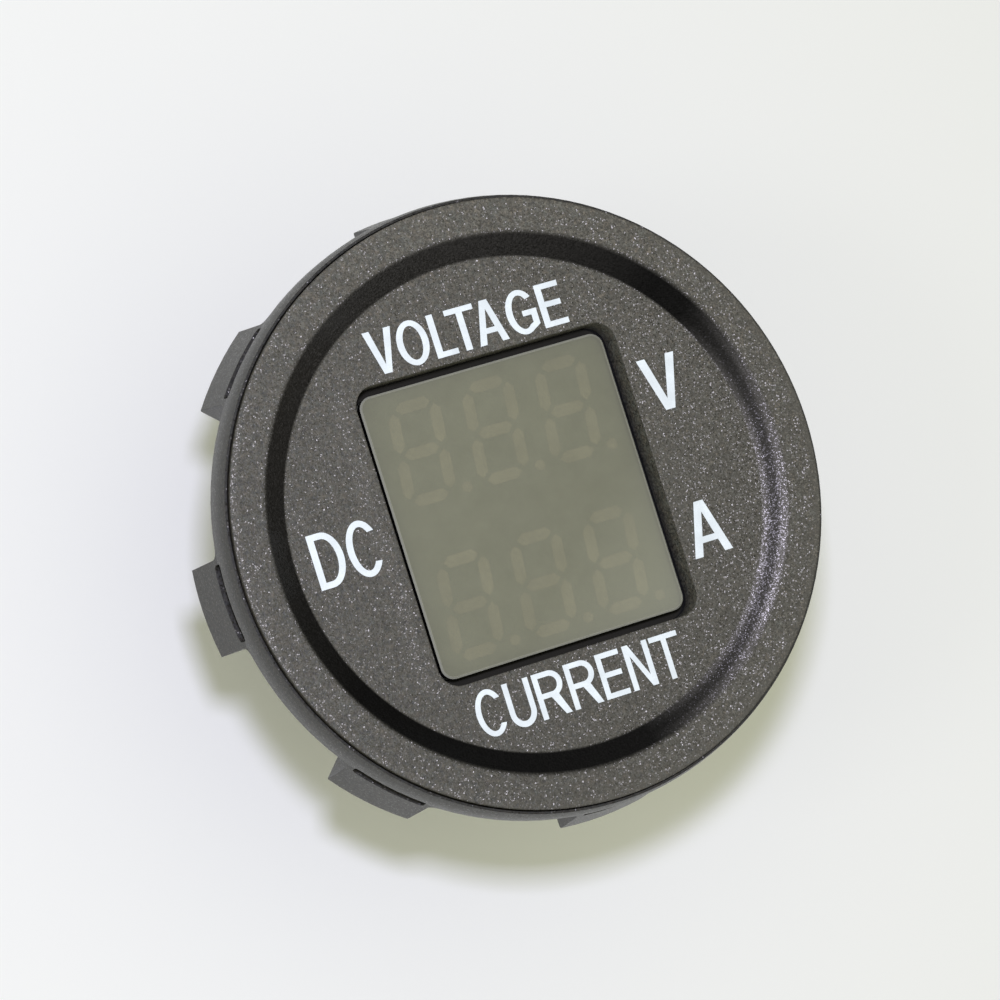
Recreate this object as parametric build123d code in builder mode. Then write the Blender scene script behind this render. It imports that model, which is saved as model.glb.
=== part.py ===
"""Round panel meter that shows a battery's voltage and current, with its shunt inside.

Millimetres.  The origin is the centre of the plane where the gasket seats on the panel.
+Z points out of the face towards the reader, +Y is up and +X is right on the display.
"""

import os
from math import cos, degrees, hypot, radians, sin, tan

from build123d import *

os.makedirs("parts", exist_ok=True)

# ---------------------------------------------------------------- driving dimensions
# Face moulding
flange_overhang = 4.3
rim_width = 2.1
step_width = 1.35
step_depth = 0.82
step_rounding = 0.15
face_edge_height = 1.4
face_edge_rounding = 0.3
face_plate = 2.0
flange_depth = 7.5
skirt_inset = 0.6
skirt_foot_inset = 1.3
skirt_taper_height = 3.0
skirt_wall = 1.0

# Display and the window that it looks through
display_width = 16.1
display_height = 17.65
display_corner = 0.8
window_gap = 0.5
lens_recess = 0.98
lens_thickness = 0.8
display_depth = 6.0
lens_edge_chamfer = 0.1
shoulder_width = 1.3
shoulder_corner = 2.0
seal_thickness = 0.5

# Seven-bar figures
digit_count = 3
digit_height = 5.65
digit_width = 2.7
digit_slant = 6.0
bar_thickness = 0.74
bar_end_gap = 0.2
bar_depth = 1.5
point_radius = 0.34
point_offset = 1.0
point_margin = 0.5
figure_margin = 0.79
pocket_gap = 0.02
led_size = 0.35
led_height = 0.2

# Clip ring with its eight lugs
lug_count = 8
lug_turn = 1.8
lug_width = 5.5
lug_depth = 7.4
lug_flare = 0.6
lug_root_rounding = 0.6
lug_edge_chamfer = 0.12
bead_width = 0.42
bead_drop = 0.4
bead_widest = 2.3
bead_depth = 3.0
lip_width = 0.15
slot_depth = 2.5
slot_height = 1.05
slot_web = 0.35
slot_rounding = 0.3
barb_rise = 0.95
barb_land = 0.35
ring_clearance = 0.1
parting_gap = 0.08
barb_clearance = 0.1

# Panel gasket
gasket_thickness = 1.0
gasket_lap = 0.25
gasket_relief = 0.25

# Barrel that passes through the panel
barrel_length = 12.4
barrel_wall = 1.6
barrel_end_chamfer = 0.5
thread_pitch = 2.0
thread_depth = 0.5
thread_crest = 0.5
ledge_width = 0.7
display_clearance = 0.285
base_thickness = 2.0

# Snap teeth that hold the barrel in the face moulding and the rear cap in the barrel
snap_count = 4
snap_width = 6.0
snap_height = 0.2
snap_length = 0.6

# Boards and the headers between them
board_thickness = 1.2
display_board_thickness = 1.0
board_spacing = 4.9
pin_size = 0.5
pin_pitch = 2.0
pins_per_row = 6
pin_row_inset = 1.425
header_width = 1.9
header_base = 1.5
solder_tail = 0.8

# Blade terminals
blade_width = 6.3
blade_thickness = 0.8
blade_reach = 8.0
blade_hole_radius = 0.9
blade_hole_from_tip = 3.2
blade_point = 1.0
tail_width = 3.0
side_blade_x = 5.6
side_blade_y = -2.0
top_blade_gap = 0.25

# Rear cap
cap_inset = 0.3
cap_flange_thickness = 1.2
cap_plate = 1.6
cap_wall = 1.2
cap_edge_chamfer = 0.35
blade_boss_height = 1.2
blade_boss_margin = 1.0

# Shunt and the parts on the meter board
shunt_thickness = 0.9
shunt_width = 2.2
shunt_span = 8.4
shunt_rise = 3.4
shunt_bend = 1.8
shunt_y = -2.4
side_parts_inset = 4.1
chip_taper = 5
leg_reach = 0.8
leg_thickness = 0.2
controller_size = (4.4, 6.5, 1.1)
controller_legs = 10
controller_pitch = 0.65
controller_leg_width = 0.28
controller_place = (0, -2.4)
amplifier_size = (3.9, 4.9, 1.5)
amplifier_legs = 4
amplifier_pitch = 1.27
amplifier_leg_width = 0.42
amplifier_gap = 0.65
regulator_size = (1.6, 2.9, 1.1)
regulator_legs = 3
regulator_pitch = 0.95
regulator_leg_width = 0.4
regulator_y = -3.0
diode_size = (4.3, 2.6, 2.2)
diode_leg_width = 1.5
diode_y = 2.4
capacitor_radius = 2.0
capacitor_height = 4.4
capacitor_foot_height = 0.7
capacitor_crimp = 0.2
capacitor_y = 2.8
resistor_size = (1.6, 0.8, 0.45)
resistor_pitch = (1.9, 1.3)
resistor_count = (4, 2)
resistor_gap = 0.7
chip_capacitor_size = (1.25, 2.0, 0.9)
chip_capacitor_pitch = (1.9, 2.6)
chip_capacitor_count = (2, 2)
chip_capacitor_y = -3.4

# Clearances between pieces that seat on each other
seat_gap = 0.05
slide_gap = 0.1

# ---------------------------------------------------------------- heights, worked out
flange_back = gasket_thickness
face = flange_back + flange_depth
inner_face = face - step_depth
plate_back = inner_face - face_plate
skirt_top = face - face_edge_height
lens_front = inner_face - lens_recess
lens_back = lens_front - lens_thickness
shoulder_front = plate_back - seal_thickness
base_front = flange_back + base_thickness
display_back = lens_back - display_depth
display_board_back = display_back - display_board_thickness
board_front = display_board_back - board_spacing
board_back = board_front - board_thickness
barrel_end = flange_back - barrel_length
cap_back = barrel_end - cap_flange_thickness
blade_tip = cap_back - blade_boss_height - blade_reach
bead_back = face - bead_depth
lug_tip = face - lug_depth
slot_front = face - slot_depth
slot_back = slot_front - slot_height

# ---------------------------------------------------------------- radii and widths, worked out
display_reach = display_corner + hypot(
    display_width / 2 - display_corner,
    display_height / 2 - display_corner,
)
display_bore = display_reach + display_clearance
board_bore = display_bore + ledge_width
board_radius = board_bore - slide_gap
barrel_radius = board_bore + barrel_wall
relief_radius = barrel_radius - gasket_relief
threaded_length = -barrel_end - barrel_end_chamfer
thread_turns = int(threaded_length / thread_pitch)
thread_margin = (threaded_length - thread_turns * thread_pitch) / 2
thread_flank = (thread_pitch - thread_crest) / 2
cap_flange_radius = barrel_radius - cap_inset
cap_spigot_radius = board_bore - slide_gap
face_radius = barrel_radius + flange_overhang
rim_inner_radius = face_radius - rim_width
step_inner_radius = rim_inner_radius - step_width
skirt_radius = face_radius - skirt_inset
skirt_foot_radius = face_radius - skirt_foot_inset
skirt_bore = skirt_foot_radius - skirt_wall
base_radius = skirt_bore - seat_gap
gasket_radius = base_radius + gasket_lap
barb_radius = skirt_radius + barb_rise
ring_bore = skirt_radius + ring_clearance
lip_bore = face_radius + parting_gap
bead_radius = lip_bore + bead_width
lug_tip_radius = bead_radius + lug_flare
slot_width = lug_width - 2 * slot_web
side_parts_x = board_radius - side_parts_inset
pin_row_offset = display_height / 2 - pin_row_inset
header_inner_y = pin_row_offset - header_width / 2
top_blade_y = header_inner_y - top_blade_gap - blade_thickness / 2
amplifier_reach = amplifier_size[0] / 2 + leg_reach
amplifier_y = top_blade_y - blade_thickness / 2 - amplifier_gap - amplifier_reach
resistor_reach = (resistor_pitch[1] * (resistor_count[1] - 1) + resistor_size[1]) / 2
resistor_y = -(header_inner_y - resistor_gap - resistor_reach)
window_width = display_width + 2 * window_gap
window_height = display_height + 2 * window_gap
window_corner = display_corner + window_gap
blade_slot_width = blade_width + 2 * slide_gap
blade_slot_thickness = blade_thickness + 2 * slide_gap


def radial_plane(angle):
    """Upright plane through the Z axis, its local X pointing outwards at this angle."""
    outward = (cos(radians(angle)), sin(radians(angle)), 0)
    return Plane(origin=(0, 0, 0), x_dir=outward, z_dir=(outward[1], -outward[0], 0))


def tangent_plane(angle):
    """Upright plane through the Z axis that faces outwards at this angle."""
    outward = (cos(radians(angle)), sin(radians(angle)), 0)
    return Plane(origin=(0, 0, 0), x_dir=(-outward[1], outward[0], 0), z_dir=outward)


def snap_teeth(radius, middle):
    """Short teeth, pointed in section, that stand round a wall at this height."""
    arc = degrees(snap_width / radius)
    with BuildPart() as teeth:
        for number in range(snap_count):
            with BuildSketch(radial_plane(360 / snap_count * number - arc / 2)):
                Polygon(
                    (radius - snap_height, middle - snap_length / 2),
                    (radius, middle - snap_length / 2),
                    (radius + snap_height, middle),
                    (radius, middle + snap_length / 2),
                    (radius - snap_height, middle + snap_length / 2),
                    align=None,
                )
            revolve(axis=Axis.Z, revolution_arc=arc)
    return teeth.part


def snap_pockets(radius, middle):
    """Hollows that the teeth spring into, to be cut from a bore at this height."""
    arc = degrees((snap_width + 2 * slide_gap) / radius)
    with BuildPart() as pockets:
        for number in range(snap_count):
            with BuildSketch(radial_plane(360 / snap_count * number - arc / 2)):
                with Locations((radius, middle)):
                    Rectangle(2 * (snap_height + seat_gap), snap_length + 2 * seat_gap)
            revolve(axis=Axis.Z, revolution_arc=arc)
    return pockets.part


lug_angles = [lug_turn + 360 / lug_count * number for number in range(lug_count)]
base_snap = flange_back + base_thickness / 2
cap_snap = barrel_end + cap_plate / 2
skirt_pockets = snap_pockets(skirt_bore, base_snap)
base_teeth = snap_teeth(base_radius, base_snap)
bore_pockets = snap_pockets(board_bore, cap_snap)
cap_teeth = snap_teeth(cap_spigot_radius, cap_snap)


# ---------------------------------------------------------------- face housing
# Face disc with its sunk centre, window and skirt.  Barbs on the skirt hold the ring.
with BuildPart() as face_housing:
    with BuildSketch(Plane.XZ) as housing_section:
        Polygon(
            (0, inner_face),
            (step_inner_radius, inner_face),
            (rim_inner_radius, face),
            (face_radius, face),
            (face_radius, skirt_top),
            (skirt_radius, skirt_top),
            (skirt_radius, flange_back + skirt_taper_height),
            (skirt_foot_radius, flange_back),
            (skirt_bore, flange_back),
            (skirt_bore, plate_back),
            (0, plate_back),
            align=None,
        )
        front_corners = housing_section.vertices().filter_by_position(Axis.Y, inner_face, face)
        front_corners = front_corners.sort_by(Axis.X)
        fillet(front_corners[1:3], step_rounding)
        fillet(front_corners[3], face_edge_rounding)
    revolve(axis=Axis.Z)
    # Pockets that the barrel's base snaps into
    add(skirt_pockets, mode=Mode.SUBTRACT)
    # Barbs, sloped on the side that rides over the ring
    barb_arc = degrees((slot_width - 2 * barb_clearance) / barb_radius)
    for angle in lug_angles:
        with BuildSketch(radial_plane(angle - barb_arc / 2)):
            Polygon(
                (skirt_radius - skirt_wall / 2, slot_front - barb_clearance),
                (barb_radius, slot_front - barb_clearance),
                (barb_radius, slot_front - barb_clearance - barb_land),
                (skirt_radius, slot_back + barb_clearance),
                (skirt_radius - skirt_wall / 2, slot_back + barb_clearance),
                align=None,
            )
        revolve(axis=Axis.Z, revolution_arc=barb_arc)
    with BuildSketch(Plane.XY.offset(plate_back)):
        RectangleRounded(window_width, window_height, window_corner)
    extrude(amount=face_plate, mode=Mode.SUBTRACT)
face_housing.part.label = "face_housing"
export_step(face_housing.part, "parts/face_housing.step")


# ---------------------------------------------------------------- clip ring
# One lug: a block cut from a flared shell, rounded into the bead, with its snap slot.
with BuildPart() as lug:
    with BuildSketch(Plane.XZ):
        Polygon(
            (ring_bore, lug_tip),
            (lug_tip_radius, lug_tip),
            (bead_radius, bead_back),
            (bead_radius - lip_width, bead_back),
            (bead_radius - lip_width, bead_back + lug_root_rounding),
            (ring_bore, bead_back + lug_root_rounding),
            align=None,
        )
    revolve(axis=Axis.Z)
    with BuildSketch(tangent_plane(0)) as lug_outline:
        with Locations((0, (lug_tip + bead_back) / 2)):
            Rectangle(lug_width, bead_back - lug_tip)
        with Locations((0, bead_back + lug_root_rounding / 2)):
            Rectangle(lug_width + 4 * lug_root_rounding, lug_root_rounding)
        root_corners = lug_outline.vertices().group_by(Axis.Y)[1].sort_by(Axis.X)
        fillet(root_corners[1:3], lug_root_rounding)
    extrude(amount=lug_tip_radius + lip_width, mode=Mode.INTERSECT)
    outer_edges = lug.faces().sort_by(SortBy.AREA).filter_by(GeomType.CONE).edges()
    chamfer(outer_edges.group_by(Axis.Z)[0], lug_edge_chamfer)

with BuildPart() as clip_ring:
    with BuildSketch(Plane.XZ):
        with BuildLine():
            Polyline(
                (bead_radius, face - bead_widest),
                (bead_radius, bead_back),
                (ring_bore, bead_back),
                (ring_bore, skirt_top - seat_gap),
                (lip_bore, skirt_top - seat_gap),
                (lip_bore, face - bead_drop),
                (lip_bore + lip_width, face - bead_drop),
            )
            TangentArc(
                (bead_radius, face - bead_widest),
                (lip_bore + lip_width, face - bead_drop),
                tangent=(0, 1),
            )
        make_face()
    revolve(axis=Axis.Z)
    for angle in lug_angles:
        add(lug.part.rotate(Axis.Z, angle))
    for angle in lug_angles:
        with BuildSketch(tangent_plane(angle)):
            with Locations((0, (slot_front + slot_back) / 2)):
                RectangleRounded(slot_width, slot_height, slot_rounding)
        extrude(amount=lug_tip_radius + lip_width, mode=Mode.SUBTRACT)
clip_ring.part.label = "clip_ring"
export_step(clip_ring.part, "parts/clip_ring.step")


# ---------------------------------------------------------------- panel gasket
with BuildPart() as panel_gasket:
    with BuildSketch(Plane.XY):
        Circle(gasket_radius)
        Circle(barrel_radius + slide_gap, mode=Mode.SUBTRACT)
    extrude(amount=gasket_thickness)
panel_gasket.part.label = "panel_gasket"
export_step(panel_gasket.part, "parts/panel_gasket.step")


# ---------------------------------------------------------------- barrel casing
# Base disc that snaps into the skirt, a relief under the gasket, the threaded barrel, and a
# ledge in the bore for the meter board.  The thread is drawn as rings, one for each turn.
thread_section = []
for turn in range(thread_turns):
    root_height = -thread_margin - thread_pitch * (turn + 0.5)
    thread_section += [
        (barrel_radius, root_height + thread_flank),
        (barrel_radius - thread_depth, root_height),
        (barrel_radius, root_height - thread_flank),
    ]

with BuildPart() as barrel_casing:
    with BuildSketch(Plane.XZ) as casing_section:
        Polygon(
            (display_bore, base_front),
            (base_radius, base_front),
            (base_radius, flange_back),
            (relief_radius, flange_back),
            (relief_radius, 0),
            (barrel_radius, 0),
            *thread_section,
            (barrel_radius, barrel_end),
            (board_bore, barrel_end),
            (board_bore, board_front),
            (display_bore, board_front),
            align=None,
        )
        end_corner = casing_section.vertices().group_by(Axis.Y)[0].sort_by(Axis.X)[-1]
        chamfer(end_corner, barrel_end_chamfer)
    revolve(axis=Axis.Z)
    # Teeth round the base disc, and pockets in the bore for the rear cap
    add(base_teeth)
    add(bore_pockets, mode=Mode.SUBTRACT)
barrel_casing.part.label = "barrel_casing"
export_step(barrel_casing.part, "parts/barrel_casing.step")


# ---------------------------------------------------------------- display lens and seal
with BuildPart() as display_lens:
    with BuildSketch(Plane.XY.offset(lens_back)):
        RectangleRounded(display_width, display_height, display_corner)
    extrude(amount=lens_thickness)
    chamfer(display_lens.faces().sort_by(Axis.Z)[-1].edges(), lens_edge_chamfer)
display_lens.part.label = "display_lens"
export_step(display_lens.part, "parts/display_lens.step")

# Frame that closes the gap between the display's shoulder and the back of the face plate
with BuildPart() as display_seal:
    with BuildSketch(Plane.XY.offset(shoulder_front)):
        RectangleRounded(
            display_width + 2 * shoulder_width,
            display_height + 2 * shoulder_width,
            shoulder_corner,
        )
        RectangleRounded(window_width, window_height, window_corner, mode=Mode.SUBTRACT)
    extrude(amount=seal_thickness)
display_seal.part.label = "display_seal"
export_step(display_seal.part, "parts/display_seal.step")


# ---------------------------------------------------------------- seven-bar figures
row_spacing = display_height - digit_height - bar_thickness - 2 * figure_margin
digit_pitch = (display_width - digit_width) / 2 - point_offset - point_radius - point_margin
row_heights = [row_spacing / 2, -row_spacing / 2]
digit_columns = [(column - (digit_count - 1) / 2) * digit_pitch for column in range(digit_count)]
lying_bars = [(0, step * digit_height / 2) for step in (-1, 0, 1)]
standing_bars = [(side * digit_width / 2, step * digit_height / 4) for side in (-1, 1) for step in (-1, 1)]


def lean(x, y, row_y):
    """Point of an upright figure, leant over by the slant about its row's middle line."""
    return (x + y * tan(radians(digit_slant)), row_y + y)


def bar_points(centre, half_length, upright, column_x, row_y, grow):
    """Six corners of one pointed bar."""
    half_thickness = bar_thickness / 2 + grow
    tip = half_length + grow
    shoulder = tip - half_thickness
    along_and_across = [
        (tip, 0),
        (shoulder, half_thickness),
        (-shoulder, half_thickness),
        (-tip, 0),
        (-shoulder, -half_thickness),
        (shoulder, -half_thickness),
    ]
    points = []
    for along, across in along_and_across:
        if upright:
            points.append(lean(column_x + centre[0] + across, centre[1] + along, row_y))
        else:
            points.append(lean(column_x + centre[0] + along, centre[1] + across, row_y))
    return points


def draw_figures(row_y, grow=0.0):
    """Adds a row of figures and their decimal points to the sketch that is open."""
    for column_x in digit_columns:
        for centre in lying_bars:
            half_length = digit_width / 2 - bar_end_gap
            Polygon(*bar_points(centre, half_length, False, column_x, row_y, grow), align=None)
        for centre in standing_bars:
            half_length = digit_height / 4 - bar_end_gap
            Polygon(*bar_points(centre, half_length, True, column_x, row_y, grow), align=None)
        point_x = column_x + digit_width / 2 + point_offset
        with Locations(lean(point_x, -digit_height / 2, row_y)):
            Circle(point_radius + grow)


def light_places(row_y):
    """Centres of the bars and points of one row, where their lamps stand."""
    places = []
    for column_x in digit_columns:
        places += [lean(column_x + x, y, row_y) for x, y in lying_bars + standing_bars]
        places.append(lean(column_x + digit_width / 2 + point_offset, -digit_height / 2, row_y))
    return places


figure_rows = {"voltage_figures": row_heights[0], "current_figures": row_heights[1]}
for figures_name, row_height in figure_rows.items():
    with BuildPart() as figures:
        with BuildSketch(Plane.XY.offset(lens_back - bar_depth)):
            draw_figures(row_height)
        extrude(amount=bar_depth)
    figures.part.label = figures_name
    export_step(figures.part, f"parts/{figures_name}.step")

# Body of the display: a pocket under each bar, and a shoulder clamped behind the window
with BuildPart() as display_body:
    with BuildSketch(Plane.XY.offset(display_back)):
        RectangleRounded(display_width, display_height, display_corner)
    extrude(amount=display_depth)
    with BuildSketch(Plane.XY.offset(base_front + seat_gap)):
        RectangleRounded(
            display_width + 2 * shoulder_width,
            display_height + 2 * shoulder_width,
            shoulder_corner,
        )
    extrude(amount=shoulder_front - base_front - seat_gap)
    with BuildSketch(Plane.XY.offset(display_back)):
        for row_height in row_heights:
            draw_figures(row_height, pocket_gap)
    extrude(amount=display_depth, mode=Mode.SUBTRACT)
display_body.part.label = "display_body"
export_step(display_body.part, "parts/display_body.step")

with BuildPart() as display_leds:
    for row_height in row_heights:
        with BuildSketch(Plane.XY.offset(display_back)):
            with Locations(*light_places(row_height)):
                Rectangle(led_size, led_size)
        extrude(amount=led_height)
display_leds.part.label = "display_leds"
export_step(display_leds.part, "parts/display_leds.step")


# ---------------------------------------------------------------- boards, pins and headers
pin_rows = [(0, pin_row_offset), (0, -pin_row_offset)]
header_length = pins_per_row * pin_pitch
pin_hole = pin_size + seat_gap


def draw_pin_squares(size, mode=Mode.ADD):
    """Adds or cuts both rows of square pins in the sketch that is open."""
    for row_centre in pin_rows:
        with Locations(row_centre):
            with GridLocations(pin_pitch, 0, pins_per_row, 1):
                Rectangle(size, size, mode=mode)


def draw_header_strips():
    """Adds both header strips, with their pin holes, to the sketch that is open."""
    with Locations(*pin_rows):
        Rectangle(header_length, header_width)
    draw_pin_squares(pin_hole, Mode.SUBTRACT)


with BuildPart() as display_board:
    with BuildSketch(Plane.XY.offset(display_board_back)):
        RectangleRounded(display_width, display_height, display_corner)
        draw_pin_squares(pin_hole, Mode.SUBTRACT)
    extrude(amount=display_board_thickness)
display_board.part.label = "display_board"
export_step(display_board.part, "parts/display_board.step")

with BuildPart() as header_plugs:
    with BuildSketch(Plane.XY.offset(display_board_back - header_base)):
        draw_header_strips()
    extrude(amount=header_base)
header_plugs.part.label = "header_plugs"
export_step(header_plugs.part, "parts/header_plugs.step")

with BuildPart() as header_sockets:
    with BuildSketch(Plane.XY.offset(board_front)):
        draw_header_strips()
    extrude(amount=board_spacing - header_base)
header_sockets.part.label = "header_sockets"
export_step(header_sockets.part, "parts/header_sockets.step")

with BuildPart() as header_pins:
    with BuildSketch(Plane.XY.offset(board_back - solder_tail)):
        draw_pin_squares(pin_size)
    extrude(amount=display_back - board_back + solder_tail)
header_pins.part.label = "header_pins"
export_step(header_pins.part, "parts/header_pins.step")


# ---------------------------------------------------------------- blade terminals
# Upright planes in the middle of each blade, local X along its width and local Y up
terminal_planes = {
    "supply_terminal": Plane((0, top_blade_y, 0), x_dir=(1, 0, 0), z_dir=(0, -1, 0)),
    "battery_terminal": Plane((-side_blade_x, side_blade_y, 0), x_dir=(0, 1, 0), z_dir=(1, 0, 0)),
    "load_terminal": Plane((side_blade_x, side_blade_y, 0), x_dir=(0, 1, 0), z_dir=(1, 0, 0)),
}

for terminal_name, terminal_plane in terminal_planes.items():
    with BuildPart() as terminal:
        with BuildSketch(terminal_plane) as terminal_outline:
            with Locations((0, (board_back + blade_tip) / 2)):
                Rectangle(blade_width, board_back - blade_tip)
            chamfer(terminal_outline.vertices().group_by(Axis.Y)[0], blade_point)
            with Locations((0, board_back + (board_thickness + solder_tail) / 2)):
                Rectangle(tail_width, board_thickness + solder_tail)
            with Locations((0, blade_tip + blade_hole_from_tip)):
                Circle(blade_hole_radius, mode=Mode.SUBTRACT)
        extrude(amount=blade_thickness / 2, both=True)
        chamfer(terminal.edges().group_by(Axis.Z)[0].sort_by(Edge.length)[-2:], blade_thickness / 4)
    terminal.part.label = terminal_name
    export_step(terminal.part, f"parts/{terminal_name}.step")


def draw_blade_cuts(width, thickness, mode, corner=0.0):
    """Adds or cuts one shape round each blade in the sketch that is open."""
    for plane in terminal_planes.values():
        along_x = abs(plane.x_dir.X) > 0.5
        with Locations((plane.origin.X, plane.origin.Y)):
            size = (width, thickness) if along_x else (thickness, width)
            if corner:
                RectangleRounded(*size, corner, mode=mode)
            else:
                Rectangle(*size, mode=mode)


# ---------------------------------------------------------------- meter board
shunt_feet = [(-shunt_span / 2, shunt_y), (shunt_span / 2, shunt_y)]

with BuildPart() as meter_board:
    with BuildSketch(Plane.XY.offset(board_back)):
        Circle(board_radius)
        draw_pin_squares(pin_hole, Mode.SUBTRACT)
        draw_blade_cuts(tail_width + 2 * seat_gap, blade_thickness + 2 * seat_gap, Mode.SUBTRACT)
        with Locations(*shunt_feet):
            Rectangle(
                shunt_thickness + 2 * seat_gap,
                shunt_width + 2 * seat_gap,
                mode=Mode.SUBTRACT,
            )
    extrude(amount=board_thickness)
meter_board.part.label = "meter_board"
export_step(meter_board.part, "parts/meter_board.step")

# Strip of resistance alloy, bent into a bridge between the battery and load terminals
with BuildPart() as current_shunt:
    with BuildLine() as shunt_path:
        FilletPolyline(
            (shunt_feet[0][0], shunt_y, board_back - solder_tail),
            (shunt_feet[0][0], shunt_y, board_front + shunt_rise),
            (shunt_feet[1][0], shunt_y, board_front + shunt_rise),
            (shunt_feet[1][0], shunt_y, board_back - solder_tail),
            radius=shunt_bend,
        )
    with BuildSketch(Plane.XY.offset(board_back - solder_tail)):
        with Locations(shunt_feet[0]):
            Rectangle(shunt_thickness, shunt_width)
    sweep(path=shunt_path.line)
current_shunt.part.label = "current_shunt"
export_step(current_shunt.part, "parts/current_shunt.step")


# ---------------------------------------------------------------- parts on the meter board
def chip_package(size, legs, pitch, leg_width, base):
    """Moulded chip on its base plane, with its legs on both sides along the plane's X."""
    across, along, height = size
    toe = across / 2 + leg_reach
    knee = across / 2 + leg_reach / 2
    with BuildPart() as package:
        with BuildSketch(base.offset(leg_thickness / 2)):
            Rectangle(across, along)
        extrude(amount=height - leg_thickness / 2, taper=chip_taper)
        for number in range(legs):
            leg_origin = base.origin + base.y_dir * (number - (legs - 1) / 2) * pitch
            with BuildSketch(Plane(leg_origin, x_dir=base.x_dir, z_dir=-base.y_dir)):
                Polygon(
                    (0, height / 2),
                    (knee - leg_thickness, height / 2),
                    (knee - leg_thickness, 0),
                    (toe, 0),
                    (toe, leg_thickness),
                    (knee, leg_thickness),
                    (knee, height / 2 + leg_thickness),
                    (0, height / 2 + leg_thickness),
                    align=None,
                )
                mirror(about=Plane.YZ)
            extrude(amount=leg_width / 2, both=True)
    return package.part


def on_front(place, across):
    """Plane on the front of the meter board, its local X along the direction across."""
    return Plane(origin=(*place, board_front), x_dir=across, z_dir=(0, 0, 1))


def on_back(place, across):
    """Plane on the back of the meter board."""
    return Plane(origin=(*place, board_back), x_dir=across, z_dir=(0, 0, -1))


along_x = (1, 0, 0)
along_y = (0, 1, 0)
chips = {
    "microcontroller": chip_package(
        controller_size,
        controller_legs,
        controller_pitch,
        controller_leg_width,
        on_back(controller_place, along_x),
    ),
    "current_amplifier": chip_package(
        amplifier_size,
        amplifier_legs,
        amplifier_pitch,
        amplifier_leg_width,
        on_front((0, amplifier_y), along_y),
    ),
    "voltage_regulator": chip_package(
        regulator_size,
        regulator_legs,
        regulator_pitch,
        regulator_leg_width,
        on_front((-side_parts_x, regulator_y), along_x),
    ),
    "protection_diode": chip_package(
        diode_size,
        1,
        0,
        diode_leg_width,
        on_front((-side_parts_x, diode_y), along_y),
    ),
}
for chip_name, chip in chips.items():
    chip.label = chip_name
    export_step(chip, f"parts/{chip_name}.step")

# Can of the supply's smoothing capacitor, crimped above its square foot
capacitor_place = (side_parts_x, capacitor_y)
with BuildPart() as smoothing_capacitor:
    with BuildSketch(on_front(capacitor_place, along_x)) as capacitor_foot:
        Rectangle(2 * capacitor_radius, 2 * capacitor_radius)
        chamfer(capacitor_foot.vertices().group_by(Axis.X)[-1], capacitor_radius / 4)
    extrude(amount=capacitor_foot_height)
    with BuildSketch(Plane(origin=(*capacitor_place, board_front), x_dir=along_x, z_dir=(0, -1, 0))):
        Polygon(
            (0, capacitor_foot_height),
            (capacitor_radius, capacitor_foot_height),
            (capacitor_radius, 2 * capacitor_foot_height),
            (capacitor_radius - capacitor_crimp, 2 * capacitor_foot_height + capacitor_crimp),
            (capacitor_radius, 2 * capacitor_foot_height + 2 * capacitor_crimp),
            (capacitor_radius, capacitor_height - capacitor_crimp),
            (capacitor_radius - capacitor_crimp, capacitor_height),
            (0, capacitor_height),
            align=None,
        )
    revolve(axis=Axis((*capacitor_place, board_front), (0, 0, 1)))
smoothing_capacitor.part.label = "smoothing_capacitor"
export_step(smoothing_capacitor.part, "parts/smoothing_capacitor.step")

with BuildPart() as chip_resistors:
    with BuildSketch(on_front((0, resistor_y), along_x)):
        with GridLocations(*resistor_pitch, *resistor_count):
            Rectangle(resistor_size[0], resistor_size[1])
    extrude(amount=resistor_size[2])
chip_resistors.part.label = "chip_resistors"
export_step(chip_resistors.part, "parts/chip_resistors.step")

with BuildPart() as chip_capacitors:
    with BuildSketch(on_front((side_parts_x, chip_capacitor_y), along_x)):
        with GridLocations(*chip_capacitor_pitch, *chip_capacitor_count):
            Rectangle(chip_capacitor_size[0], chip_capacitor_size[1])
    extrude(amount=chip_capacitor_size[2])
chip_capacitors.part.label = "chip_capacitors"
export_step(chip_capacitors.part, "parts/chip_capacitors.step")


# ---------------------------------------------------------------- rear cap
# Plug that snaps into the barrel's end, presses the board on its ledge and guides the blades
with BuildPart() as rear_cap:
    with BuildSketch(Plane.XZ) as cap_section:
        Polygon(
            (0, cap_back),
            (cap_flange_radius, cap_back),
            (cap_flange_radius, barrel_end - seat_gap),
            (cap_spigot_radius, barrel_end - seat_gap),
            (cap_spigot_radius, board_back - seat_gap),
            (cap_spigot_radius - cap_wall, board_back - seat_gap),
            (cap_spigot_radius - cap_wall, barrel_end + cap_plate),
            (0, barrel_end + cap_plate),
            align=None,
        )
        rim_corners = cap_section.vertices().group_by(Axis.X)[-1]
        chamfer(rim_corners.sort_by(Axis.Y)[0], cap_edge_chamfer)
    revolve(axis=Axis.Z)
    add(cap_teeth)
    # Raised collar round each blade
    with BuildSketch(Plane.XY.offset(cap_back - blade_boss_height)):
        draw_blade_cuts(
            blade_slot_width + 2 * blade_boss_margin,
            blade_slot_thickness + 2 * blade_boss_margin,
            Mode.ADD,
            corner=blade_boss_margin / 2,
        )
    extrude(amount=blade_boss_height)
    with BuildSketch(Plane.XY.offset(cap_back - blade_boss_height)):
        draw_blade_cuts(blade_slot_width, blade_slot_thickness, Mode.ADD)
    extrude(amount=barrel_end + cap_plate - cap_back + blade_boss_height, mode=Mode.SUBTRACT)
rear_cap.part.label = "rear_cap"
export_step(rear_cap.part, "parts/rear_cap.step")
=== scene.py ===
# Looks for the round battery meter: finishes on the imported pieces, printed legends and the thread.
from math import cos, pi, radians, sin, tau

import bpy
from mathutils import Matrix, Vector


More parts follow.
